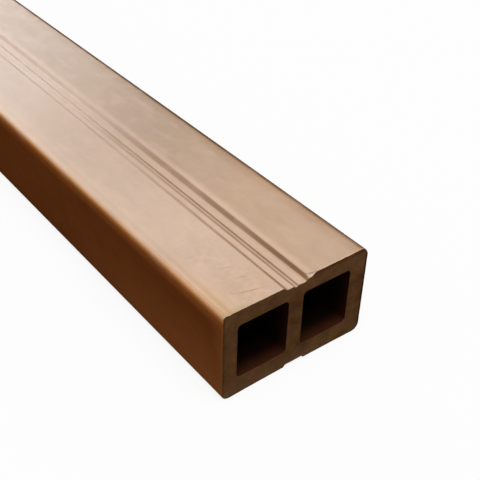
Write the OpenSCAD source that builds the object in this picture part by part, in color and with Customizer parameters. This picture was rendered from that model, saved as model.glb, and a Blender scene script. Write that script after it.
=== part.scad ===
// Hollow decking joist of wood-plastic composite, in the length it is sold in.
// It is one extruded piece: two cells run right through it, with a web between them.
// X runs along the joist, Y across it and Z up. The origin is at the middle of its
// length and width, on the plane that it lies on.

/* [Stock] */
// Length of the joist
joist_length = 2200; // [600:100:4000]
// Width of the section
joist_width = 50; // [44:1:70]
// Height of the section
joist_height = 30; // [26:1:50]
// Radius of the two long edges on top
top_edge_radius = 2; // [0.5:0.1:3]
// Radius of the two long edges underneath
bottom_edge_radius = 2.5; // [0.5:0.1:3]

/* [Walls and cells] */
// Thickness of the wall at each side
side_wall = 5.5; // [4:0.1:8]
// Thickness of the web between the cells
web_thickness = 5.2; // [3:0.1:8]
// Thickness of the wall over the cells
top_wall = 5.3; // [4:0.1:8]
// Thickness of the wall under the cells
bottom_wall = 6.3; // [4:0.1:8]
// Radius of the corners inside a cell
cell_corner_radius = 1.3; // [0.4:0.1:3]

/* [Trough on top] */
// Width of the trough's flat floor
trough_floor_width = 5.4; // [3:0.1:10]
// Depth of the trough
trough_depth = 1; // [0.5:0.05:1.3]
// Radius of the cove that rises from each side of the floor
trough_cove_radius = 1.6; // [1.3:0.1:3]
// Width of the floor of the narrow notch that guides the screws
notch_floor_width = 1; // [0.4:0.1:2]
// Width by which each wall of the notch leans out
notch_wall_run = 0.15; // [0:0.05:0.4]
// Depth of the notch below the trough's floor
notch_depth = 0.45; // [0.2:0.05:1]

/* [Groove underneath] */
// Width of the groove's flat floor
groove_floor_width = 6.2; // [3:0.1:10]
// Width by which each wall of the groove leans out
groove_wall_run = 0.7; // [0:0.1:2]
// Depth of the groove
groove_depth = 1; // [0.4:0.1:2]

/* [Hidden] */
$fn = 48;
// How far a cut runs past the face that it opens
overcut = 1;
cell_width = (joist_width - 2 * side_wall - web_thickness) / 2;
cell_height = joist_height - bottom_wall - top_wall;
cell_centre = (web_thickness + cell_width) / 2;
trough_floor = joist_height - trough_depth;

// What a rounding takes off the square corner that stands at the origin.
module corner_waste(radius) {
    difference() {
        translate([-overcut, -overcut])
            square(radius + overcut);
        translate([radius, radius])
            circle(radius);
    }
}

// A rectangle that stands on the Y axis' zero, with one radius below and one above.
module rounded_rectangle(width, height, bottom_radius, top_radius) {
    difference() {
        translate([-width / 2, 0])
            square([width, height]);
        for (side = [0, 1])
            mirror([side, 0])
                translate([-width / 2, 0]) {
                    corner_waste(bottom_radius);
                    translate([0, height])
                        mirror([0, 1])
                            corner_waste(top_radius);
                }
    }
}

module cells() {
    for (side = [-1, 1])
        translate([side * cell_centre, bottom_wall])
            rounded_rectangle(cell_width, cell_height, cell_corner_radius, cell_corner_radius);
}

// A groove with leaning walls, cut upward from the Y axis and open below it.
module leaning_groove(floor_width, wall_run, depth) {
    lean = wall_run / depth;
    mouth_half = floor_width / 2 + lean * (depth + overcut);
    polygon([
        [-mouth_half, -overcut],
        [mouth_half, -overcut],
        [floor_width / 2, depth],
        [-floor_width / 2, depth]
    ]);
}

// A shallow trough with coved sides along the middle of the top face, and a notch in
// the middle of its floor.
module top_trough() {
    translate([-trough_floor_width / 2, trough_floor])
        square([trough_floor_width, trough_depth + overcut]);
    for (side = [-1, 1])
        translate([side * trough_floor_width / 2, trough_floor + trough_cove_radius])
            circle(trough_cove_radius);
    translate([0, trough_floor])
        mirror([0, 1])
            leaning_groove(notch_floor_width, notch_wall_run, notch_depth);
}

module joist_section() {
    difference() {
        rounded_rectangle(joist_width, joist_height, bottom_edge_radius, top_edge_radius);
        cells();
        top_trough();
        leaning_groove(groove_floor_width, groove_wall_run, groove_depth);
    }
}

module joist() {
    color("#8c5a37")
        translate([-joist_length / 2, 0, 0])
            rotate([90, 0, 90])
                linear_extrude(height = joist_length)
                    joist_section();
}

joist();
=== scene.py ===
# %% [markdown]
# A hollow decking joist of wood-plastic composite
#
# The real object is one extruded bar. Wood flour and a plastic are melted together and
# pushed through a die, so every line along the bar is as straight as the die that drew
# it, and then a saw cuts the bar to length. There are three finishes to learn from it:
# the drawn skin, the torn, matte face that the saw leaves, and the dark inside of the
# cells, whose darkness is painted shade.
#
# The imported model comes first, as a fixed frame. It gives the length, the width and the
# height, so nothing below has to repeat them.

# %% Load the frame
import math
from types import SimpleNamespace

import bpy
import numpy as np
from mathutils import Matrix, Vector, noise
from mathutils.geometry import delaunay_2d_cdt


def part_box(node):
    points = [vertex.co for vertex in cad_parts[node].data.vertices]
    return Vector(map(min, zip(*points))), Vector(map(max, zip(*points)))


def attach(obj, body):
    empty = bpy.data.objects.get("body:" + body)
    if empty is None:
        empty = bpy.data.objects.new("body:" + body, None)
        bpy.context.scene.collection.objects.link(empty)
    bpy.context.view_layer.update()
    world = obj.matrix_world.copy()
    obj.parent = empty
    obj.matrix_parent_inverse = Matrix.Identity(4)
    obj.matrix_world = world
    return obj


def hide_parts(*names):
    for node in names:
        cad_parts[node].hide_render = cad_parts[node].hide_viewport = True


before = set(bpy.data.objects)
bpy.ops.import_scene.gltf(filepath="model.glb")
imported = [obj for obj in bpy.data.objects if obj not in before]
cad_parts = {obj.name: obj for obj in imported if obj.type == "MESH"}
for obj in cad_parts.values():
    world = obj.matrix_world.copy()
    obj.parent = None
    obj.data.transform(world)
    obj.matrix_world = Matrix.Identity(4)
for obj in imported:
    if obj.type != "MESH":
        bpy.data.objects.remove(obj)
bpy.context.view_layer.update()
MM = 0.001
low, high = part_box("joist")
LENGTH, WIDTH, HEIGHT = (high - low) / MM
END_X = high.x / MM
print("the joist is", round(LENGTH), "mm long,", round(WIDTH), "wide and", round(HEIGHT), "high")

# %% [markdown]
# The camera
#
# A photograph of a box-shaped thing holds its own camera: the long edges meet at a
# vanishing point, and the four corners of the sawn end have a known size. Those give
# the focal length and the place below. They are written as a photographer would say
# them, as a place beside the sawn end and three angles, and the lens in pixels of the
# 480 pixel frame.

# %% Camera
FRAME_PX = 480
FOCAL_PX = 867.1
SENSOR_MM = 36.0
CAMERA_FROM_END = Vector((127.79, -121.43, 174.17))
HEADING, TILT, ROLL = 51.68, 36.80, 1.74

camera_data = bpy.data.cameras.new("camera")
camera_data.sensor_width = SENSOR_MM
camera_data.lens = FOCAL_PX / FRAME_PX * SENSOR_MM
camera = bpy.data.objects.new("camera", camera_data)
bpy.context.scene.collection.objects.link(camera)
turn = (
    Matrix.Rotation(math.radians(HEADING), 4, "Z")
    @ Matrix.Rotation(math.radians(90 - TILT), 4, "X")
    @ Matrix.Rotation(math.radians(ROLL), 4, "Z")
)
place = (Vector((END_X, 0, 0)) + CAMERA_FROM_END) * MM
camera.matrix_world = Matrix.Translation(place) @ turn
bpy.context.scene.camera = camera
print("a lens of", round(camera_data.lens, 1), "mm at", [round(v, 3) for v in place])

# %% [markdown]
# The section
#
# The bar is the same all along, so its shape is one drawing: the outline and the two
# cells. Modelling it as a box with bevels would lose what makes it look extruded, which
# is the small stuff of the outline: S-shaped walls in the trough, a narrow notch that
# guides the screws, fine lines that a nick in the die draws, and faces that sink a
# little where the walls behind them cooled last. So the outline is drawn point by
# point from a few sizes, with many points where it bends and few where it is straight.
#
# The sizes are in millimetres. The walls, the cells and the groove have the solid's own.
# The trough, the left edge and the shifts are this one bar's, as measured in the photo,
# and all of it stays inside the solid's box.

# %% Sizes of the section
SIDE_WALL, WEB, TOP_WALL, BOTTOM_WALL = 5.5, 5.2, 5.3, 6.3
CELL_RADIUS = 1.3
# The left top edge was pressed a little sharper than the right one.
LEFT_RADIUS, RIGHT_RADIUS, BOTTOM_RADIUS = 0.95, 2.0, 2.5
TROUGH_FLOOR, TROUGH_MOUTH, TROUGH_DEPTH = 5.8, 9.3, 1.0
NOTCH_FLOOR, NOTCH_RUN, NOTCH_DEPTH = 0.84, 0.3, 0.42
GROOVE_FLOOR, GROOVE_RUN, GROOVE_DEPTH = 6.2, 0.7, 1.0
TOP_SINK, BOTTOM_ARCH = 0.06, 0.3
# The die's parts sat a little to the left: the trough and the cells are off the middle.
TROUGH_MIDDLE, CELLS_MIDDLE = -0.95, -0.65
# The mandrel of the right cell stood a little higher than that of the left one.
RIGHT_CELL_LIFT = 0.3

FOOT, MOUTH = TROUGH_FLOOR / 2, TROUGH_MOUTH / 2
NOTCH_FOOT, NOTCH_LIP = NOTCH_FLOOR / 2, NOTCH_FLOOR / 2 + NOTCH_RUN
GROOVE_FOOT, GROOVE_LIP = GROOVE_FLOOR / 2, GROOVE_FLOOR / 2 + GROOVE_RUN
LEFT_FLAT, RIGHT_FLAT = -WIDTH / 2 + LEFT_RADIUS, WIDTH / 2 - RIGHT_RADIUS
BOTTOM_FLAT = WIDTH / 2 - BOTTOM_RADIUS
print("the trough is", TROUGH_MOUTH, "mm wide at its mouth, and its middle lies at", TROUGH_MIDDLE)


# %% Height of the top face and of the underside
def ramp(value, start, end):
    """0 at start and 1 at end, in a straight line, and held at both."""
    return min(1.0, max(0.0, (value - start) / (end - start)))


def ogee(value, start, end):
    """0 at start and 1 at end, along an S whose steepest place is the middle."""
    share = ramp(value, start, end)
    return share * share * (3 - 2 * share)


def top_height(y):
    sink = TOP_SINK * max(0.0, 1 - (y / RIGHT_FLAT) ** 2)
    away = abs(y - TROUGH_MIDDLE)
    trough = TROUGH_DEPTH * (1 - ogee(away, FOOT, MOUTH))
    notch = NOTCH_DEPTH * (1 - ogee(away, NOTCH_FOOT, NOTCH_LIP))
    return HEIGHT - sink - trough * (1 - sink / HEIGHT) - notch


def underside_height(y):
    away = abs(y)
    arch = BOTTOM_ARCH * (1 - (away / BOTTOM_FLAT) ** 2)
    groove = GROOVE_DEPTH * (1 - ramp(away, GROOVE_FOOT, GROOVE_LIP))
    return max(arch, groove)


floor_height, notch_height = top_height(1.5), top_height(TROUGH_MIDDLE)
print("the trough's floor lies at", round(floor_height, 2), "and its notch at", round(notch_height, 2))


# %% Points across a face, and round a corner
def spaced(stretches):
    """Places along a line, from stretches of (start, end, step). Each has its own step."""
    places = []
    for start, end, step in stretches:
        count = max(1, round(abs(end - start) / step))
        places += [start + (end - start) * i / count for i in range(count)]
    return places + [stretches[-1][1]]


def quarter(centre, radius, start, step):
    """Points on a quarter circle, anticlockwise from an angle in degrees."""
    count = round(radius * math.pi / 2 / step)
    angles = [math.radians(start + 90 * i / count) for i in range(count + 1)]
    return [(centre[0] + radius * math.cos(a), centre[1] + radius * math.sin(a)) for a in angles]


# The notch's walls are so short that their points start a little before and end a little after.
BESIDE_NOTCH = 0.08
half_trough = spaced([
    (0, NOTCH_FOOT - BESIDE_NOTCH, 0.14), (NOTCH_FOOT - BESIDE_NOTCH, NOTCH_LIP + BESIDE_NOTCH, 0.05),
    (NOTCH_LIP + BESIDE_NOTCH, FOOT, 0.3), (FOOT, MOUTH, 0.1), (MOUTH, MOUTH + 0.6, 0.2),
])
across_trough = [TROUGH_MIDDLE + y for y in [-y for y in half_trough[:0:-1]] + half_trough]
half_bottom = spaced([
    (0, GROOVE_FOOT, 0.7), (GROOVE_FOOT, GROOVE_LIP, 0.12), (GROOVE_LIP, BOTTOM_FLAT, 1.3),
])
# The points stand closer beside the edges, where the die's lines run.
FINE_FROM = 20.6
across_top = (
    spaced([(LEFT_FLAT, -FINE_FROM, 0.12), (-FINE_FROM, across_trough[0], 0.64)])[:-1]
    + across_trough
    + spaced([(across_trough[-1], FINE_FROM, 0.64), (FINE_FROM, RIGHT_FLAT, 0.12)])[1:]
)
across_bottom = [-y for y in half_bottom[:0:-1]] + half_bottom
up_left = spaced([(BOTTOM_RADIUS, HEIGHT - LEFT_RADIUS, 1.2)])
up_right = spaced([(BOTTOM_RADIUS, HEIGHT - RIGHT_RADIUS, 1.2)])
print(len(across_top), "points cross the top face, and", len(across_bottom), "the underside")

# %% The outline, anticlockwise as seen from the sawn end
outline = (
    [(y, underside_height(y)) for y in across_bottom]
    + quarter((BOTTOM_FLAT, BOTTOM_RADIUS), BOTTOM_RADIUS, -90, 0.3)[1:-1]
    + [(WIDTH / 2, z) for z in up_right]
    + quarter((RIGHT_FLAT, HEIGHT - RIGHT_RADIUS), RIGHT_RADIUS, 0, 0.13)[1:-1]
    + [(y, top_height(y)) for y in reversed(across_top)]
    + quarter((LEFT_FLAT, HEIGHT - LEFT_RADIUS), LEFT_RADIUS, 90, 0.1)[1:-1]
    + [(-WIDTH / 2, z) for z in reversed(up_left)]
    + quarter((-BOTTOM_FLAT, BOTTOM_RADIUS), BOTTOM_RADIUS, 180, 0.3)[1:-1]
)
outline = np.array(outline)


def outward(loop):
    """The direction that points out of an anticlockwise loop, at each of its points."""
    along = np.roll(loop, -1, 0) - np.roll(loop, 1, 0)
    normal = np.stack([along[:, 1], -along[:, 0]], 1)
    return normal / np.linalg.norm(normal, axis=1)[:, None]


def blurred_outward(loop, reach=0.2):
    """The same, but each direction is shared with the neighbours within a reach, in mm.
    Points that move along these don't cross each other at a corner."""
    apart = np.linalg.norm(loop[:, None] - loop[None], axis=2)
    steps = np.linalg.norm(np.roll(loop, -1, 0) - np.roll(loop, 1, 0), axis=1) / 2
    share = np.exp(-((apart / reach) ** 2)) * steps
    return (share @ outward(loop)) / share.sum(1)[:, None]


print("the outline has", len(outline), "points")

# %% [markdown]
# Lines from the die
#
# A nick or a crumb at the die's lip draws a line along the whole bar. In the photo the
# clearest run beside the left edge, and a few fainter ones lie on the flats. Each is a
# groove a few hundredths of a millimetre deep at most, so it shows only by its gloss. A
# bump map could fake them, but here they cost nothing: the outline moves in a little at
# those points, and the sweep does the rest.

# %% Die lines: place across, half width and depth
DIE_LINES = [
    (-24.0, 0.15, 0.03), (-22.35, 0.5, 0.035), (-21.2, 0.3, 0.008),
    (13.2, 0.15, 0.02), (-9.3, 0.3, 0.008), (9.8, 0.8, 0.01), (18.6, 0.5, 0.008),
]
facing = outward(outline)
on_top = outline[:, 1] > HEIGHT - RIGHT_RADIUS
pressed = np.zeros(len(outline))
for place_y, half_width, depth in DIE_LINES:
    pressed += on_top * depth * np.exp(-((outline[:, 0] - place_y) / half_width) ** 2)
outline = outline - facing * pressed[:, None]
outline[:, 1] = np.clip(outline[:, 1], 0, HEIGHT)
outline[:, 0] = np.clip(outline[:, 0], -WIDTH / 2, WIDTH / 2)
print(len(DIE_LINES), "die lines, the deepest", max(line[2] for line in DIE_LINES), "mm")

# %% The two cells
CELL_WIDTH = (WIDTH - 2 * SIDE_WALL - WEB) / 2
CELL_TOP = HEIGHT - TOP_WALL


def cell_loop(side):
    """One cell's outline, anticlockwise, with its corners rounded."""
    near, far = WEB / 2, WEB / 2 + CELL_WIDTH
    left, right = (CELLS_MIDDLE + y for y in ((near, far) if side > 0 else (-far, -near)))
    r = CELL_RADIUS
    top = CELL_TOP + (RIGHT_CELL_LIFT if side > 0 else 0.0)
    points = []
    for centre, start in [
        ((right - r, BOTTOM_WALL + r), -90), ((right - r, top - r), 0),
        ((left + r, top - r), 90), ((left + r, BOTTOM_WALL + r), 180),
    ]:
        points += quarter(centre, r, start, 0.4)
    return np.array(points)


cells = [cell_loop(side) for side in (-1, 1)]
print("each cell is", round(CELL_WIDTH, 2), "mm wide")
print("the left one is", round(CELL_TOP - BOTTOM_WALL, 2), "mm high")

# %% [markdown]
# The sawn ends
#
# A saw blade tears this material: crumbs break out of the edge, most of all where a thin
# lip stands, and the edge is left a little round. In the photo a strip of the edge has
# gone right of the trough, a chip sits beside the trough's right wall, and smaller ones
# sit further left. So the rings of the sweep crowd together at each end, and there each
# point moves in by what has broken off. The rest of the edge gets small random chips
# from smooth noise, which gives the same edge each time that the script runs.

# %% What is broken off
RIM_RADIUS = 0.06
CHIPS = [
    # across, half width, reach along the bar, depth
    (3.9, 1.4, 1.5, 0.5), (1.2, 1.4, 0.7, 0.2), (-23.0, 0.5, 0.35, 0.1), (-12.0, 1.5, 0.3, 0.06),
]
# The strip thickens from the first place across to the second, and its inner edge is ragged.
STRIP_FROM, STRIP_FULL, STRIP_REACH, STRIP_DEPTH = 4.6, 7.0, 0.55, 0.28
RAGGED_SHARE, RAGGED_PER_MM, RAGGED_SEED = 0.15, 1.1, 3.3
# Where there is no strip, this share of its reach keeps the slope below from dividing by 0.
LEAST_REACH = 0.05
# The random chips are about 1 mm wide, and the grit in them is about 0.3 mm.
CHIPS_PER_MM, GRIT_PER_MM = 0.9, 3.1
CHIP_DEPTH, GRIT_DEPTH, CHIP_REACH, DEEP_CHIP_REACH = 0.08, 0.04, 0.25, 0.5
# No chip reaches further along the bar than this.
BROKEN_WITHIN = 3.0
print("the rim is rounded by", RIM_RADIUS, "mm, and", len(CHIPS), "larger chips are set by hand")


# %% How far a point moves in, at a distance from the cut
def rim(away):
    """The small rounding of the cut's edge."""
    gone = max(0.0, RIM_RADIUS - away)
    return RIM_RADIUS - math.sqrt(RIM_RADIUS**2 - gone**2)


def crumbled(y, z, away, seed):
    """Small random chips, at a place on the edge."""
    chip = noise.noise(Vector((y * CHIPS_PER_MM, z * CHIPS_PER_MM, seed)))
    grit = noise.noise(Vector((y * GRIT_PER_MM, z * GRIT_PER_MM, seed + 7)))
    reach = CHIP_REACH + DEEP_CHIP_REACH * max(0.0, chip)
    depth = CHIP_DEPTH * max(0.0, chip) + GRIT_DEPTH * max(0.0, grit)
    return depth * math.exp(-((away / reach) ** 2))


def near_top(z):
    """1 for the points of the top face and 0 for those well below it."""
    return ramp(z, HEIGHT - 3, HEIGHT - 2)


def strip_off(y, z, away):
    """The broken strip on the photographed end: how far down."""
    share = near_top(z) * ramp(y, STRIP_FROM, STRIP_FULL)
    ragged = 1 + RAGGED_SHARE * noise.noise(Vector((y * RAGGED_PER_MM, RAGGED_SEED, 0)))
    reach = STRIP_REACH * max(LEAST_REACH, share) * ragged
    return STRIP_DEPTH * min(1.0, 2 * share) * max(0.0, 1 - away / reach)


def chipped(y, z, away):
    """The strip and the larger chips: how far down."""
    return strip_off(y, z, away) + near_top(z) * sum(
        depth * math.exp(-(((y - centre) / half) ** 2)) * max(0.0, 1 - away / reach)
        for centre, half, reach, depth in CHIPS
    )


print("the strip is gone by", round(chipped(12.0, HEIGHT, 0), 2), "mm at 12 mm across")

# %% Rings along the bar
near_rings = (
    [0, 0.015, 0.035, 0.06, 0.1] + spaced([(0.15, 0.75, 0.05)])
    + [0.9, 1.1, 1.35, 1.6, 2.5, 4, 6.5, 10]
)
middle_rings = spaced([(20, 300, 14), (300, LENGTH - 20, 60)])
# The far end has no large chips, so it does with the closest rings.
FAR_RINGS_WITHIN = 2
far_rings = [LENGTH - away for away in reversed([a for a in near_rings if a < FAR_RINGS_WITHIN])]
rings = near_rings + middle_rings + far_rings
# The torn face needs this much room, so that none of it stands out of the joist's box.
END_SET_BACK = 0.08
NEAR_SEED, FAR_SEED = 1.5, 21.5


def ring_points(loop, normal, sign, distance):
    """One ring of the sweep. sign is 1 for the outline and -1 for a cell, whose wall is outside it."""
    nearest = min(distance, LENGTH - distance)
    seed = NEAR_SEED if distance < LENGTH / 2 else FAR_SEED
    squeeze = 1 - 2 * END_SET_BACK / LENGTH
    x = END_X - END_SET_BACK - distance * squeeze
    moved = []
    for (y, z), (ny, nz) in zip(loop, normal * sign):
        inward = rim(nearest) + crumbled(y, z, nearest, seed) if nearest < BROKEN_WITHIN else 0.0
        fallen = chipped(y, z, distance) if sign > 0 and distance < BROKEN_WITHIN else 0.0
        moved.append((x, y - ny * inward, z - nz * inward - fallen))
    return moved


loops = [(outline, 1)] + [(cell, -1) for cell in cells]
print(len(rings), "rings of", sum(len(loop) for loop, _ in loops), "points")

# %% [markdown]
# The face that the saw leaves is flat only from far away. It needs points of its own
# inside the outline, to carry the marks of the blade's teeth. A constrained Delaunay
# triangulation joins a grid of such points to the last ring without a gap, and the
# triangles that would close the two cells are left out.

# %% Triangles for a sawn end
GRID_MM = 0.8
# Points closer together than this count as one.
TOUCHING = 1e-7
DELAUNAY_OF_THE_INSIDE = 1


def inside(point, loop):
    """True if a point lies in a loop, by counting the edges that a ray to the right crosses."""
    y, z = point
    a, b = loop, np.roll(loop, -1, 0)
    crosses = (a[:, 1] > z) != (b[:, 1] > z)
    meets = a[:, 0] + (z - a[:, 1]) * (b[:, 0] - a[:, 0]) / np.where(crosses, b[:, 1] - a[:, 1], 1)
    return np.count_nonzero(crosses & (meets > y)) % 2 == 1


def in_the_wall(point, end_loops):
    """True if a point lies between the outline and the cells."""
    return inside(point, end_loops[0]) and not any(inside(point, cell) for cell in end_loops[1:])


def clearance(point, loop):
    """The distance from a point to the nearest point of a loop."""
    return np.linalg.norm(loop - point, axis=1).min()


def end_triangles(end_loops):
    """(points, triangles) of the face between the outline and the cells. The loops' points come first."""
    points, edges = [], []
    for loop in end_loops:
        first = len(points)
        points += [tuple(p) for p in loop]
        edges += [(first + i, first + (i + 1) % len(loop)) for i in range(len(loop))]
    rows = np.arange(GRID_MM, HEIGHT, GRID_MM)
    columns = np.arange(-WIDTH / 2 + GRID_MM, WIDTH / 2, GRID_MM)
    for row, z in enumerate(rows):
        for y in columns + (row % 2) * GRID_MM / 2:
            clear = min(clearance((y, z), loop) for loop in end_loops)
            if clear > GRID_MM * 0.5 and in_the_wall((y, z), end_loops):
                points.append((y, z))
    flat = [Vector(p) for p in points]
    made, _, corners, origins, _, _ = delaunay_2d_cdt(flat, edges, [], DELAUNAY_OF_THE_INSIDE, TOUCHING)
    kept = []
    for corner in corners:
        middle = sum((made[i] for i in corner), Vector((0, 0))) / 3
        if in_the_wall(middle, end_loops):
            kept.append(tuple(origins[i][0] for i in corner))
    return np.array(points), kept


print("the sawn faces have a point every", GRID_MM, "mm")

# %% Saw marks
BLADE_RADIUS, MARK_PITCH = 125.0, 1.3
HUB_Y, HUB_Z = -60, -95
# The blade wandered by up to 2 mm, over some 20 mm of its path.
WANDER, WANDERS_PER_MM = 2, 0.05
TEARS_PER_MM = 1.7
MARK_HEIGHT, TEAR_HEIGHT = 0.012, 0.05


def saw_relief(y, z, seed):
    """How far the sawn face stands out from the plane of the cut, at a place on it."""
    from_hub = math.hypot(y - HUB_Y, z - HUB_Z)
    wander = noise.noise(Vector((y * WANDERS_PER_MM, z * WANDERS_PER_MM, seed)))
    marks = math.sin((from_hub - BLADE_RADIUS + WANDER * wander) * math.tau / MARK_PITCH)
    torn = noise.noise(Vector((y * TEARS_PER_MM, z * TEARS_PER_MM, seed + 3)))
    return MARK_HEIGHT * marks + TEAR_HEIGHT * torn


print("the teeth leave a mark every", MARK_PITCH, "mm")

# %% Sweep the section along the rings
vertices, faces, face_kinds = [], [], []
first_of = {}
for index, (loop, sign) in enumerate(loops):
    normal = blurred_outward(loop)
    for ring, distance in enumerate(rings):
        first_of[index, ring] = len(vertices)
        vertices += ring_points(loop, normal, sign, distance)

TOP_SKIN, SIDE_SKIN, SAWN, CELL = range(4)
SKIN_TURN = math.cos(math.radians(50))
# Where the strip broke off deeper than this, in mm, the torn inside shows.
TORN_DEPTH = 0.02
for index, (loop, sign) in enumerate(loops):
    count = len(loop)
    faces_up = outward(loop)[:, 1] > SKIN_TURN
    in_trough = (np.abs(loop[:, 0] - TROUGH_MIDDLE) < MOUTH + 1) & (loop[:, 1] > HEIGHT / 2)
    for ring in range(len(rings) - 1):
        here, there = first_of[index, ring], first_of[index, ring + 1]
        for i in range(count):
            j = (i + 1) % count
            quad = (here + i, there + i, there + j, here + j)
            faces.append(quad if sign > 0 else quad[::-1])
            topside = (faces_up[i] and faces_up[j] and loop[i, 0] < RIGHT_FLAT) or in_trough[i]
            kind = TOP_SKIN if topside else SIDE_SKIN
            if rings[ring + 1] < BROKEN_WITHIN and strip_off(*loop[i], rings[ring + 1]) > TORN_DEPTH:
                kind = SAWN
            face_kinds.append(CELL if sign < 0 else kind)
print(len(vertices), "points and", len(faces), "faces in the sweep")

# %% Close both ends
NEAR_SAW_SEED, FAR_SAW_SEED = 4.0, 40.0


def close_end(ring, seed, towards):
    """Adds the sawn face at a ring. towards is 1 for the end at +X and -1 for the other."""
    starts = [first_of[index, ring] for index in range(len(loops))]
    ids = [start + i for start, (loop, _) in zip(starts, loops) for i in range(len(loop))]
    end_loops = [
        np.array([vertices[start + i][1:] for i in range(len(loop))])
        for start, (loop, _) in zip(starts, loops)
    ]
    points, triangles = end_triangles(end_loops)
    cut_x = vertices[ids[0]][0]
    for y, z in points[len(ids):]:
        ids.append(len(vertices))
        vertices.append((cut_x + towards * saw_relief(y, z, seed), y, z))
    for triangle in triangles:
        a, b, c = (ids[i] for i in triangle)
        faces.append((a, b, c) if towards > 0 else (a, c, b))
        face_kinds.append(SAWN)
    return len(triangles)


near_count = close_end(0, NEAR_SAW_SEED, 1)
far_count = close_end(len(rings) - 1, FAR_SAW_SEED, -1)
print("triangles on the two ends:", near_count, far_count)

# %% Make the mesh
# Edges that turn by more than this stay sharp.
SHARP_TURN = math.radians(38)
mesh = bpy.data.meshes.new("extruded_joist")
mesh.from_pydata((np.array(vertices) * MM).tolist(), [], faces)
mesh.polygons.foreach_set("use_smooth", [True] * len(faces))
mesh.polygons.foreach_set("material_index", face_kinds)
mesh.set_sharp_from_angle(angle=SHARP_TURN)
mesh.validate()
joist = bpy.data.objects.new("extruded_joist", mesh)
bpy.context.scene.collection.objects.link(joist)
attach(joist, "root")
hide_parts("joist")
print("the mesh has", sum(len(f) - 2 for f in faces), "triangles")

# %% [markdown]
# Colours and nodes
#
# Three small helpers carry every material. One turns the hex colour that an artist
# picks on a screen into the linear values that light is counted in. The next adds a
# node, with its settings and its links, in one line. Its inputs can be a list, in the
# order in which the node shows them, so that a call reads the way the node looks. The
# last one starts a material with an empty tree.

# %% Helpers for materials
def linear(hex_colour):
    """An sRGB hex colour as linear red, green, blue and alpha."""
    channels = [int(hex_colour[i:i + 2], 16) / 255 for i in (1, 3, 5)]
    return [c / 12.92 if c <= 0.04045 else ((c + 0.055) / 1.055) ** 2.4 for c in channels] + [1.0]


def add_node(tree, kind, inputs=(), **settings):
    """Adds a node. inputs holds values, or nodes and sockets to link from: a list for the sockets
    that the node shows, from the top, or a dict by their names."""
    node = tree.nodes.new("ShaderNode" + kind)
    for name, value in settings.items():
        setattr(node, name, value)
    if isinstance(inputs, dict):
        pairs = [(node.inputs[name], value) for name, value in inputs.items()]
    else:
        pairs = zip([socket for socket in node.inputs if socket.enabled], inputs)
    for socket, value in pairs:
        if isinstance(value, bpy.types.Node):
            value = next(output for output in value.outputs if output.enabled)
        if isinstance(value, bpy.types.NodeSocket):
            tree.links.new(value, socket)
        else:
            socket.default_value = value
    return node


def new_material(name):
    """A material and its empty tree."""
    material = bpy.data.materials.new(name)
    material.use_nodes = True
    material.node_tree.nodes.clear()
    return material, material.node_tree


print("a mid brown is", [round(v, 3) for v in linear("#86471e")[:3]])

# %% [markdown]
# Where things lie on the bar
#
# Dust, film and rubbing lie where something happened to the bar, so each has a place
# that can be said in millimetres: how far across, how far up, and how far from the
# nearest cut. A range is 0 at one such place and 1 at another. A product of ranges says
# how much of a thing lies at a point, and a coat lays one colour over another by it. An
# image painted by hand could do the same, but it would need unwrapping, and its numbers
# couldn't be read.

# %% Places, ranges and coats
def places_on_bar(tree):
    """A point of the bar in mm, its place across and up, and its distance from the nearest end."""
    point = add_node(tree, "TexCoord").outputs["Object"]
    point = add_node(tree, "VectorMath", [point, 1 / MM], operation="SCALE")
    parts = add_node(tree, "SeparateXYZ", [point])
    from_middle = add_node(tree, "Math", [parts.outputs["X"]], operation="ABSOLUTE")
    depth = add_node(tree, "Math", [END_X, from_middle], operation="SUBTRACT")
    return SimpleNamespace(point=point, across=parts.outputs["Y"], up=parts.outputs["Z"], depth=depth)


def share_of(tree, at, parts):
    """The product of its parts. A part is a node, or a range: what it follows, where it starts and
    where it ends. It runs from 0 to 1, or between two more numbers if they are given."""
    product = None
    for part in parts:
        if isinstance(part, tuple):
            part = add_node(tree, "MapRange", [getattr(at, part[0]), *part[1:]])
        product = part if product is None else add_node(tree, "Math", [product, part], operation="MULTIPLY")
    return product


def strongest(tree, parts):
    """The greatest of several nodes, at each point."""
    greatest = parts[0]
    for part in parts[1:]:
        greatest = add_node(tree, "Math", [greatest, part], operation="MAXIMUM")
    return greatest


def coat(tree, at, base, colour, parts):
    """Lays a colour over the base, as thickly as the product of the parts says."""
    return add_node(tree, "Mix", [share_of(tree, at, parts), base, linear(colour)], data_type="RGBA")


def streaked(tree, at, size, detail):
    """Noise from 0 to 1 whose blobs have a length along the bar and a width across it, in mm."""
    squeeze = (1 / size[0], 1 / size[1], 1 / size[1])
    stretched = add_node(tree, "VectorMath", [at.point, squeeze], operation="MULTIPLY")
    return add_node(tree, "TexNoise", {"Vector": stretched, "Scale": 1.0, "Detail": detail})


# Nearly all of such noise lies between these two values.
NOISE_LOW, NOISE_HIGH = 0.3, 0.7
POLYETHYLENE_IOR = 1.5


def filled_plastic(tree, colour, roughness, reflectance, bump=None):
    """Ends a tree with the shader that all the finishes share, and links it to the output."""
    shader = add_node(tree, "BsdfPrincipled", {
        "Base Color": colour, "Roughness": roughness,
        "IOR": POLYETHYLENE_IOR, "Specular IOR Level": reflectance,
        **({"Normal": bump} if bump else {}),
    })
    add_node(tree, "OutputMaterial", {"Surface": shader})


print("polyethylene's IOR is", POLYETHYLENE_IOR)
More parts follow.
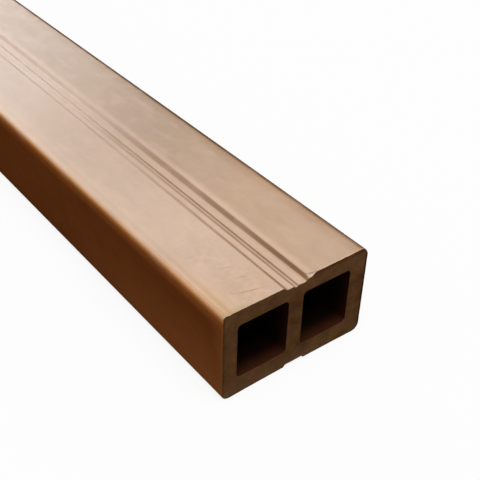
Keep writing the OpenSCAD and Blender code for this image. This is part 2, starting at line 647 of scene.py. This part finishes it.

# %% [markdown]
# The drawn skin
#
# What it is: polyethylene filled with wood flour, pushed through a polished die. The
# plastic wets the die and comes out as a thin, closed skin, with a satin gloss like a
# washing-up bowl's. Under it the flour shows as pale and dark flecks, drawn out along
# the bar, and the heat of the die leaves faint streaks. The top of this bar is the
# paler: it has been rubbed, so broken flour shows and scatters the light, and part of
# its paleness is painted sheen.
#
# How it is made here: noise whose space is squeezed along the bar, so that each blob
# turns into a streak. Its coordinates are the object's own, in millimetres, so a streak
# has its real width and nothing needs unwrapping. The side's brown goes over to the
# top's tan at a height just below the edge.
#
# Polyethylene has an IOR of about 1.5. There are two skin materials, from one function,
# because the sides and the underside are dull, and a shader's reflectance is best set
# as one constant for a whole surface.
#
# How it was rubbed, and where light is painted: the pale haze lies only where something
# could touch the bar, and part of its paleness is painted sheen. Its colour runs across
# the bar: a painted amber highlight round the left edge, then a pale tan, a painted
# highlight on the trough's right lip, a little darker right of the trough, and painted
# shade in brown again at the right edge. Small dips beside the left edge are painted
# shade in the die's grooves. A colour ramp holds those colours. Round the left edge it
# goes on down the side, with its highlight, so the ramp's place is the distance across
# less a share of the drop below the top.

# %% Colours across the top
# The ramp paints light: an amber highlight round the left edge, a highlight on the trough's right lip at
# 4.4, and shade in the browns of the right edge.
EDGE_COLOUR, TAN_LEFT, TAN_RIGHT = "#8f4f22", "#cdac91", "#be9d80"
ACROSS_THE_TOP_WITH_PAINTED_LIGHT = [
    (-27.0, EDGE_COLOUR), (-26.0, "#bf7c42"), (-25.4, "#d59966"), (-24.4, "#d3a47b"),
    (-23.4, "#d6af89"), (-22.4, "#cba47f"), (-20.8, "#cfae8e"), (-19.0, TAN_LEFT), (3.8, TAN_LEFT),
    (4.4, "#d2b095"), (6.2, TAN_RIGHT), (19.0, TAN_RIGHT), (22.0, "#b28c67"), (23.6, "#6a4a33"),
    (24.2, "#6a452c"), (24.9, "#6d3b1b"),
]
# How much a place on the left side counts as further out, for each mm below the top.
EDGE_DROP, DROP_REACH = 0.84, 10.0
# Down the left side the ramp carries the painted amber highlight of the rounded edge.
LEFT_SIDE_DROP = [
    ("up", HEIGHT, HEIGHT - DROP_REACH, 0.0, DROP_REACH * EDGE_DROP), ("across", -19.0, -21.0),
]


def rubbed_colour_and_painted_light(tree, at):
    """The top's colour, with its painted highlights and shade, at a place across the bar, and down the
    first millimetres of its left side.
    """
    girth = add_node(tree, "Math", [at.across, share_of(tree, at, LEFT_SIDE_DROP)], operation="SUBTRACT")
    first, last = ACROSS_THE_TOP_WITH_PAINTED_LIGHT[0][0], ACROSS_THE_TOP_WITH_PAINTED_LIGHT[-1][0]
    colours = add_node(tree, "ValToRGB", [add_node(tree, "MapRange", [girth, first, last])])
    stops = colours.color_ramp.elements
    while len(stops) < len(ACROSS_THE_TOP_WITH_PAINTED_LIGHT):
        stops.new(0.5)
    for stop, (y, colour) in zip(stops, ACROSS_THE_TOP_WITH_PAINTED_LIGHT):
        stop.position = (y - first) / (last - first)
        stop.color = linear(colour)
    return colours


print("the top runs through", len(ACROSS_THE_TOP_WITH_PAINTED_LIGHT), "colours")

# %% [markdown]
# The walls of the trough and of its notch, and the fine lines that the die drew, get
# painted shade: each is a line of darker brown. The left wall of the trough is the most
# amber of them. All of it is clearest beside the cut. Along the bar the lines widen and
# fade, and further on a pale coat on the walls is painted light that evens out their
# shade.
#
# The rest of the top changes along the bar as well. The painted amber highlight of the
# left edge goes over to tan, a pale grey coat lies left of the trough and far along,
# partly a thin film and partly painted sheen, and further from the cut the top is
# darker with painted shade.

# %% Lines of painted shade
# The brown and the amber of the walls are painted shade, and the pale wall colour is painted light.
WALL_SHADE_COLOUR, LEFT_WALL_SHADE_COLOUR, WALL_PAINTED_LIGHT_COLOUR = "#744a1c", "#80480c", "#ecd3c2"
# Each line has its middle across the bar, its half width and its strength.
# These lines are painted shade on the trough's walls, in its notch and in the die's grooves by the left
# edge.
PAINTED_SHADE_LINES = [
    (TROUGH_MIDDLE - 0.65, 0.4, 0.94), (TROUGH_MIDDLE, 0.5, 0.28), (TROUGH_MIDDLE + 0.45, 0.2, 0.5),
    (TROUGH_MIDDLE + 3.2, 0.6, 0.12), (TROUGH_MIDDLE + 3.82, 0.52, 0.92), (-24.62, 0.12, 0.16),
    (-24.0, 0.2, 0.2), (-22.35, 0.6, 0.1), (13.2, 0.15, 0.08),
]
LINES_WIDEN = [("depth", 5.0, 150.0, 1.0, 2.2)]
LINES_FADE = [("depth", 5.0, 70.0, 1.0, 0.5), ("depth", 80.0, 130.0, 1.0, 0.1)]
# The left wall of the trough gets its own line of painted shade, in amber.
LEFT_WALL_SHADE_LINE = (TROUGH_MIDDLE - 3.75, 0.72, 0.92)
LEFT_WALL_WIDENS = [("depth", 10.0, 70.0, 1.0, 1.4)]
LEFT_WALL_FADES = [("depth", 5.0, 80.0, 1.0, 0.05)]
# A pale coat far along is painted light on the walls, which evens out their shade.
WALLS_PAINTED_LIGHT = [
    (TROUGH_MIDDLE - 4.1, 0.5, 0.35), (TROUGH_MIDDLE - 0.5, 0.25, 0.3),
    (TROUGH_MIDDLE + 0.55, 0.3, 0.6), (TROUGH_MIDDLE + 3.75, 0.85, 0.6),
]
WALL_LIGHT_BEGINS = [("depth", 65.0, 130.0)]


def drawn_lines(tree, at, lines, spread):
    """How strong a set of lines along the bar is at a place. spread is how much wider they are there."""
    strengths = []
    for middle, half_width, strength in lines:
        off = add_node(tree, "Math", [at.across, middle], operation="SUBTRACT")
        off = add_node(tree, "Math", [off], operation="ABSOLUTE")
        off = add_node(tree, "Math", [off, spread], operation="DIVIDE")
        strengths.append(add_node(
            tree, "MapRange", [off, 0.5 * half_width, 1.5 * half_width, strength, 0.0],
            interpolation_type="SMOOTHSTEP",
        ))
    return strongest(tree, strengths)


print(len(PAINTED_SHADE_LINES) + 1, "brown lines, and dust on", len(WALLS_PAINTED_LIGHT), "walls")

# %% Film, painted sheen and painted shade
# A pale grey coat, partly a thin film and partly painted sheen, strongest far along the bar.
FILM_AND_SHEEN_COLOUR = "#d6bfb0"
FILM_AND_SHEEN_ON_LEFT = [("across", -2.0, -6.0), ("depth", 8.0, 20.0, 0.0, 0.22), ("depth", 85.0, 60.0, 0.3, 1.0)]
FILM_AND_SHEEN_ON_RIGHT = [("across", 5.0, 9.0), ("depth", 28.0, 12.0, 0.0, 0.07)]
FILM_AND_SHEEN_FAR_ALONG = [("depth", 90.0, 150.0, 0.0, 0.32), ("across", 6.0, -2.0, 0.2, 1.0)]
OFF_THE_LEFT_EDGE = ("across", -24.6, -22.6)
# Along the bar the painted amber highlight of the left edge gives way to tan.
TAN_FROM_AMBER_HIGHLIGHT = [("across", -24.8, -24.0), ("across", 0.0, -2.0), ("depth", 8.0, 45.0, 0.0, 0.9)]
# Painted shade: from 40 to 90 mm from the cut the top darkens by up to about a fifth, a little more on the
# right and less at the left edge.
PAINTED_SHADE_FAR_ALONG = [("across", -4.0, 8.0, 0.19, 0.23), ("across", -25.0, -17.0), ("depth", 40.0, 90.0)]


def top_colour(tree, at):
    """The top: its rubbed colours and painted light across, what changes them along the bar, and its lines
    of painted shade and light.
    """
    colour = coat(tree, at, rubbed_colour_and_painted_light(tree, at), TAN_LEFT, TAN_FROM_AMBER_HIGHLIGHT)
    films_and_sheen = [share_of(tree, at, parts) for parts in (FILM_AND_SHEEN_ON_LEFT, FILM_AND_SHEEN_ON_RIGHT, FILM_AND_SHEEN_FAR_ALONG)]
    colour = coat(tree, at, colour, FILM_AND_SHEEN_COLOUR, [strongest(tree, films_and_sheen), OFF_THE_LEFT_EDGE])
    gain = add_node(tree, "Math", [1.0, share_of(tree, at, PAINTED_SHADE_FAR_ALONG)], operation="SUBTRACT")
    colour = add_node(tree, "VectorMath", [colour, gain], operation="SCALE")
    brown = drawn_lines(tree, at, PAINTED_SHADE_LINES, share_of(tree, at, LINES_WIDEN))
    colour = coat(tree, at, colour, WALL_SHADE_COLOUR, [brown, *LINES_FADE])
    amber = drawn_lines(tree, at, [LEFT_WALL_SHADE_LINE], share_of(tree, at, LEFT_WALL_WIDENS))
    colour = coat(tree, at, colour, LEFT_WALL_SHADE_COLOUR, [amber, *LEFT_WALL_FADES])
    painted_light = drawn_lines(tree, at, WALLS_PAINTED_LIGHT, 1.0)
    return coat(tree, at, colour, WALL_PAINTED_LIGHT_COLOUR, [painted_light, *WALL_LIGHT_BEGINS])


print("the film is", FILM_AND_SHEEN_COLOUR, "and the top is up to", PAINTED_SHADE_FAR_ALONG[0][-1], "darker far along")

# %% [markdown]
# Marks of handling
#
# Beside the cut the skin carries what a saw table and a hand leave: a few fine bowed
# scratches across the bar, a patch of small scuffs left of the trough, and a smear of
# yellow dust at the left corner. A dark line lies behind the chip beside the trough.
# Each scratch is a parabola: its place along the bar is worked out from the place
# across, and the line is drawn where the two agree. Real scratches are a few hundredths
# of a millimetre wide, and these are drawn at 0.3 mm, so that they show.

# %% Scratches
SCRATCH_COLOUR, SCRATCH_HALF_WIDTH = "#7d6249", 0.14
SCRATCHES = [
    # across from and to, distance from the end there, bow, strength
    ((-18.9, -7.8), (6.8, 3.6), -0.5, 0.6), ((-13.2, -9.6), (10.6, 9.4), 0.4, 0.35),
    ((-14.6, -10.0), (16.2, 14.6), 0.5, 0.35), ((9.0, 13.0), (14.5, 12.8), 0.2, 0.15),
    ((11.0, 14.5), (23.0, 21.5), -0.2, 0.08), ((-19.4, -16.2), (25.0, 24.2), 0.3, 0.16),
    # A dark line behind the chip at the trough's right lip, drawn like a scratch.
    ((2.5, 8.2), (1.55, 0.15), 0.05, 1.0),
]
# A share times what is left of it is 0 at both ends of a scratch and this at its middle.
HUMP_TOP = 0.25


def scratched(tree, at):
    """How strong the scratches are at a place."""
    strengths = []
    for (start, end), (depth_start, depth_end), bow, strength in SCRATCHES:
        share = share_of(tree, at, [("across", start, end)])
        line = share_of(tree, at, [("across", start, end, depth_start, depth_end)])
        rest = add_node(tree, "Math", [1.0, share], operation="SUBTRACT")
        hump = add_node(tree, "Math", [share, rest], operation="MULTIPLY")
        bowed = add_node(tree, "Math", [hump, bow / HUMP_TOP], operation="MULTIPLY")
        line = add_node(tree, "Math", [line, bowed], operation="ADD")
        off = add_node(tree, "Math", [at.depth, line], operation="SUBTRACT")
        off = add_node(tree, "Math", [off], operation="ABSOLUTE")
        inner, outer = 0.3 * SCRATCH_HALF_WIDTH, 1.7 * SCRATCH_HALF_WIDTH
        mark = add_node(tree, "MapRange", [off, inner, outer, strength / HUMP_TOP, 0.0])
        # It tapers at both ends, where the hump comes down to nothing.
        taper = add_node(tree, "Math", [hump, HUMP_TOP], operation="MINIMUM")
        strengths.append(share_of(tree, at, [mark, taper]))
    return strongest(tree, strengths)


print(len(SCRATCHES), "scratches")

# %% Scuffs, dust and a painted highlight beside the cut
SCUFF_MM, SCUFF_SWING = (1.5, 2.0), 0.055
SCUFF_PATCH = [("across", -6.0, -9.0), ("across", -21.0, -18.0), ("depth", 40.0, 25.0)]
DUST_COLOUR = "#b49c6a"
CORNER_DUST = [("across", -14.0, -21.0), ("depth", 2.0, 0.4, 0.0, 0.7), ("up", 28.8, 29.6)]
# A painted highlight lies along the lip that the strip broke from.
RIM_HIGHLIGHT_COLOUR, PAINTED_RIM_HIGHLIGHT = "#e6cba8", [("across", 5.0, 8.0), ("depth", 1.3, 0.7, 0.0, 0.25)]


def handled(tree, at, colour):
    """Adds the scratches, the scuffs, the dust and the lip's painted highlight to the top's colour."""
    colour = coat(tree, at, colour, SCRATCH_COLOUR, [scratched(tree, at)])
    uneven = ("scuffs", NOISE_LOW, NOISE_HIGH, -SCUFF_SWING, SCUFF_SWING)
    swing = share_of(tree, at, [uneven, *SCUFF_PATCH])
    gain = add_node(tree, "Math", [1.0, swing], operation="ADD")
    colour = add_node(tree, "VectorMath", [colour, gain], operation="SCALE")
    colour = coat(tree, at, colour, DUST_COLOUR, CORNER_DUST)
    return coat(tree, at, colour, RIM_HIGHLIGHT_COLOUR, PAINTED_RIM_HIGHLIGHT)


print("scuffs of", SCUFF_MM, "mm")

# %% The sides' colour
SIDE_COLOUR, PALER_SIDE_COLOUR, BURR_COLOUR = "#6f3a19", "#94592f", "#94694a"
PALER_LOW_DOWN = [("up", 22.0, 3.0, 0.0, 0.65), ("depth", 90.0, 10.0)]
PALER_BY_CUT = [("depth", 6.0, 0.0, 0.0, 0.45)]
BURR = [("depth", 1.0, 0.3, 0.0, 0.12)]


def side_colour(tree, at):
    """The sides' brown. It is paler towards the cut and towards the floor."""
    paler = strongest(tree, [share_of(tree, at, parts) for parts in (PALER_LOW_DOWN, PALER_BY_CUT)])
    colour = coat(tree, at, linear(SIDE_COLOUR), PALER_SIDE_COLOUR, [paler])
    return coat(tree, at, colour, BURR_COLOUR, BURR)


print("the sides are", SIDE_COLOUR)

# %% Streaks, mottle, flecks and grain
STREAK_MM, MOTTLE_MM, PATCH_MM, TINT_MM = (90.0, 0.9), (14.0, 6.0), (4.0, 2.6), (9.0, 5.0)
# Size of the noise, its detail, and how much it swings the brightness.
UNEVEN = [(STREAK_MM, 3.0, 0.012), (MOTTLE_MM, 3.0, 0.045), (PATCH_MM, 2.0, 0.03)]
# Wood flour is 0.1 to 0.4 mm wide. It is drawn at 0.5 mm, as coarse as it needs to show.
FLECK_MM = (1.6, 0.5)
# A rosy tint lies in patches, on the top only.
ROSY_COLOUR = "#d3b3a8"
ROSY_PATCHES = [("tint", 0.5, 0.68, 0.0, 0.16), ("up", 27.0, 28.5), ("across", 24.6, 23.0)]
FLECK_COATS = [
    # Pale flour and burnt flour.
    ("#c9a882", [("flecks", 0.64, 0.76, 0.0, 0.06)]), ("#54301a", [("flecks", 0.36, 0.26, 0.0, 0.05)]),
]
# Above these heights the top's paler colour is partly painted sheen.
# The side's colour goes over to the top's between these heights.
SIDE_UNTIL, TOP_FROM = 24.5, 27.5
ROUGHNESS_SWING = 0.05
# Bumps: size, strength, and depth in mm.
GRAIN_MM, GRAIN_STRENGTH, GRAIN_DEPTH = (1.2, 0.35), 0.4, 0.03
SCUFF_STRENGTH, SCUFF_DEPTH = 0.22, 0.06
print("the grain is", GRAIN_MM, "mm and the flecks are", FLECK_MM)


# %% The skin's materials
def skin_colour(tree, at):
    """The sides' colour below and the top's above, with tint, streaks and flecks over both."""
    top = handled(tree, at, top_colour(tree, at))
    on_top = add_node(tree, "MapRange", [at.up, SIDE_UNTIL, TOP_FROM], interpolation_type="SMOOTHSTEP")
    base = add_node(tree, "Mix", [on_top, side_colour(tree, at), top], data_type="RGBA")
    base = coat(tree, at, base, ROSY_COLOUR, ROSY_PATCHES)
    for size, detail, swing in UNEVEN:
        wave = streaked(tree, at, size, detail)
        gain = add_node(tree, "MapRange", [wave, NOISE_LOW, NOISE_HIGH, 1 - swing, 1 + swing])
        base = add_node(tree, "VectorMath", [base, gain], operation="SCALE")
    for colour, parts in FLECK_COATS:
        base = coat(tree, at, base, colour, parts)
    return base


def skin(name, reflectance, roughness):
    """The drawn skin. A reflectance of 0.5 is polyethylene's own."""
    material, tree = new_material(name)
    at = places_on_bar(tree)
    at.scuffs = streaked(tree, at, SCUFF_MM, 2.0)
    at.tint = streaked(tree, at, TINT_MM, 2.0)
    at.flecks = streaked(tree, at, FLECK_MM, 1.0)
    wave = streaked(tree, at, MOTTLE_MM, 3.0)
    limits = (roughness - ROUGHNESS_SWING, roughness + ROUGHNESS_SWING)
    patchy = add_node(tree, "MapRange", [wave, NOISE_LOW, NOISE_HIGH, *limits])
    grain = streaked(tree, at, GRAIN_MM, 4.0)
    bump = add_node(tree, "Bump", {
        "Height": grain, "Strength": GRAIN_STRENGTH, "Distance": GRAIN_DEPTH * MM,
    })
    bump = add_node(tree, "Bump", {
        "Height": at.scuffs, "Strength": SCUFF_STRENGTH, "Distance": SCUFF_DEPTH * MM, "Normal": bump,
    })
    filled_plastic(tree, skin_colour(tree, at), patchy, reflectance, bump)
    return material


top_skin = skin("rubbed_skin_with_painted_sheen", 0.5, 0.38)
side_skin = skin("dull_composite_skin", 0.0, 0.6)
print("materials:", top_skin.name, "and", side_skin.name)

# %% [markdown]
# The sawn face
#
# The saw opens the same material across the flow. There is no closed skin, so no gloss:
# the light is scattered by torn flour, in a greyer brown than the skin's, with crumbs
# paler and darker than the rest. In the photo a thin, darker rind lies right under the
# top skin, most of all right of the trough.

# %% The sawn face's material
SAWN_DARK, SAWN_PALE = "#50341a", "#6e4c2c"
BLOTCH_MM, SAWN_TINT_MM, CRUMB_MM = (4.5, 4.5), (4.0, 4.0), (0.6, 0.6)
# The rind is at full strength in its upper third.
RIND_MM = 0.9
RIND_TOP = HEIGHT - TOP_SINK
RIND = [("up", RIND_TOP - RIND_MM, RIND_TOP - RIND_MM / 3, 0.0, 0.9), ("across", -7.0, 2.0, 0.2, 1.0)]
SAWN_COATS = [
    # A paler brown low down, less of it on the right, is painted light that lifts the shade near the floor;
    # a little of the same colour lies above the cells.
    ("#85664a", [("up", 6.0, 1.5, 0.0, 0.35), ("across", 4.0, 18.0, 1.0, 0.3)]),
    ("#85664a", [("up", 23.5, 26.5, 0.0, 0.14)]),
    ("#3c1f08", RIND),
    # The sawn face is darker next to the sides, most of all on the right.
    ("#3a220f", [("across", -24.0, -24.6, 0.0, 0.45)]), ("#24160c", [("across", 23.9, 24.6, 0.0, 0.75)]),
    # Reddish and greenish blotches, then pale and dark crumbs.
    ("#6a4036", [("tint", 0.5, 0.68, 0.0, 0.38)]), ("#5b5226", [("tint", 0.5, 0.32, 0.0, 0.1)]),
    ("#b3906c", [("crumbs", 0.6, 0.72, 0.0, 0.1)]), ("#2e1a0e", [("crumbs", 0.42, 0.3, 0.0, 0.22)]),
]
SAWN_ROUGHNESS, CRUMB_STRENGTH, CRUMB_DEPTH = 0.9, 0.6, 0.1


def sawn_face(name):
    """Torn flour in plastic, without a skin."""
    material, tree = new_material(name)
    at = places_on_bar(tree)
    at.blotch = streaked(tree, at, BLOTCH_MM, 3.0)
    at.tint = streaked(tree, at, SAWN_TINT_MM, 1.0)
    at.crumbs = streaked(tree, at, CRUMB_MM, 3.0)
    base = coat(tree, at, linear(SAWN_DARK), SAWN_PALE, [("blotch", NOISE_LOW, NOISE_HIGH)])
    for colour, parts in SAWN_COATS:
        base = coat(tree, at, base, colour, parts)
    bump = add_node(tree, "Bump", {
        "Height": at.crumbs, "Strength": CRUMB_STRENGTH, "Distance": CRUMB_DEPTH * MM,
    })
    filled_plastic(tree, base, SAWN_ROUGHNESS, 0.0, bump)
    return material


sawn = sawn_face("sawn_composite")
print("material:", sawn.name, "with", len(SAWN_COATS), "coats")

# %% [markdown]
# Inside the cells
#
# The cells never meet the light or a brush. Their skin is coloured a very dark, dull
# brown, which is painted shade. Near the mouth a warmer brown, most of all on the floor,
# is painted light where the light reaches in.

# %% The cells' material
# The first pair is painted shade inside the cells, the second painted light near the mouth.
CELL_PAINTED_SHADE, CELL_MOUTH_PAINTED_LIGHT = ("#120905", "#1c0f09"), ("#371c10", "#3f2113")
CELL_STREAK_MM, CELL_ROUGHNESS = (25.0, 1.5), 0.8
MOUTH_LIGHT_REACH, MOUTH_LIGHT_FULL = 5.5, 0.3
MOUTH_LIGHT_LOW_DOWN = ("up", 12.0, BOTTOM_WALL, 0.4, 1.0)


def cell_with_painted_light(name):
    """Very dark painted shade in a cell, with painted light near the cut, most on the floor."""
    material, tree = new_material(name)
    at = places_on_bar(tree)
    wave = streaked(tree, at, CELL_STREAK_MM, 2.0)
    shaded_colour, lit_colour = (coat(tree, at, linear(dark), pale, [wave]) for dark, pale in (CELL_PAINTED_SHADE, CELL_MOUTH_PAINTED_LIGHT))
    near = add_node(tree, "MapRange", [at.depth, MOUTH_LIGHT_REACH, MOUTH_LIGHT_FULL], interpolation_type="SMOOTHSTEP")
    painted_light = share_of(tree, at, [MOUTH_LIGHT_LOW_DOWN, near])
    base = add_node(tree, "Mix", [painted_light, shaded_colour, lit_colour], data_type="RGBA")
    filled_plastic(tree, base, CELL_ROUGHNESS, 0.0)
    return material


for material in (top_skin, side_skin, sawn, cell_with_painted_light("cell_skin_painted_shade")):
    joist.data.materials.append(material)
print([m.name for m in joist.data.materials])

# %% [markdown]
# Floor, backdrop and light
#
# The photo shows the bar cut out on white, lit from above and behind: its top shines,
# and the side and the end stay dark. One wide, soft sun stands nearly overhead, a low
# one lies far behind and grazes the top, and the world fills the shadows. A sun lights
# the whole of a long bar alike, which a lamp beside one end would not. The white comes
# from what camera rays meet, and not from more light on the bar.

# %% White for the camera, grey for the light that bounces
FLOOR_GREY, FLOOR_WHITE = 0.5, 0.9
# What the camera sees of the floor: mostly plain white, and the rest is white that takes the shadow.
GLOW_SHARE = 0.88
FLOOR_REACH = 60.0
WORLD_FILL = 0.24


def seen_directly(tree):
    """1 for camera, glossy and transmission rays, and 0 for the light that bounces."""
    path = add_node(tree, "LightPath")
    rays = [path.outputs[name] for name in ("Is Camera Ray", "Is Glossy Ray", "Is Transmission Ray")]
    return strongest(tree, rays)


def grey(level):
    """One level for red, green and blue, and an alpha of 1."""
    return (level, level, level, 1.0)


print("the floor shows as", round(GLOW_SHARE + (1 - GLOW_SHARE) * FLOOR_WHITE, 3), "under full light")

# %% The floor
floor_mesh = bpy.data.meshes.new("floor")
corners = [(x * FLOOR_REACH, y * FLOOR_REACH, 0) for x, y in ((-1, -1), (1, -1), (1, 1), (-1, 1))]
floor_mesh.from_pydata(corners, [], [(0, 1, 2, 3)])
floor = bpy.data.objects.new("floor", floor_mesh)
bpy.context.scene.collection.objects.link(floor)

floor_material, tree = new_material("pale_floor")
plain = add_node(tree, "BsdfDiffuse", {"Color": grey(FLOOR_GREY)})
bright = add_node(tree, "BsdfDiffuse", {"Color": grey(FLOOR_WHITE)})
glow = add_node(tree, "Emission", {"Strength": 1.0})
shown = add_node(tree, "MixShader", [GLOW_SHARE, bright, glow])
both = add_node(tree, "MixShader", [seen_directly(tree), plain, shown])
add_node(tree, "OutputMaterial", {"Surface": both})
floor_mesh.materials.append(floor_material)
print("the floor returns", FLOOR_GREY, "of the light")

# %% The world
world = bpy.data.worlds.new("studio")
bpy.context.scene.world = world
world.use_nodes = True
tree = world.node_tree
tree.nodes.clear()
strength = add_node(tree, "MapRange", {"Value": seen_directly(tree), "To Min": WORLD_FILL, "To Max": 1.0})
backdrop = add_node(tree, "Background", {"Color": grey(1.0), "Strength": strength})
add_node(tree, "OutputWorld", {"Surface": backdrop})
print("the fill is", WORLD_FILL)


# %% The two soft suns
def soft_sun(name, bearing, rise, spread, strength):
    """A sun seen under a wide angle. bearing is anticlockwise from +X and rise is up from the floor."""
    lamp = bpy.data.lights.new(name, "SUN")
    lamp.energy = strength
    lamp.angle = math.radians(spread)
    sun = bpy.data.objects.new(name, lamp)
    bpy.context.scene.collection.objects.link(sun)
    around, up = math.radians(bearing), math.radians(rise)
    towards = Vector((math.cos(around) * math.cos(up), math.sin(around) * math.cos(up), math.sin(up)))
    sun.matrix_world = towards.to_track_quat("Z", "Y").to_matrix().to_4x4()
    print(name, "gives the top a level of", round(strength * math.sin(up) / math.pi, 2))


soft_sun("overhead_sun", bearing=-20.0, rise=78.0, spread=40.0, strength=2.3)
soft_sun("back_sun", bearing=161.0, rise=20.0, spread=20.0, strength=0.36)

# %% View settings
bpy.context.scene.view_settings.view_transform = "Standard"
print("view transform:", bpy.context.scene.view_settings.view_transform)
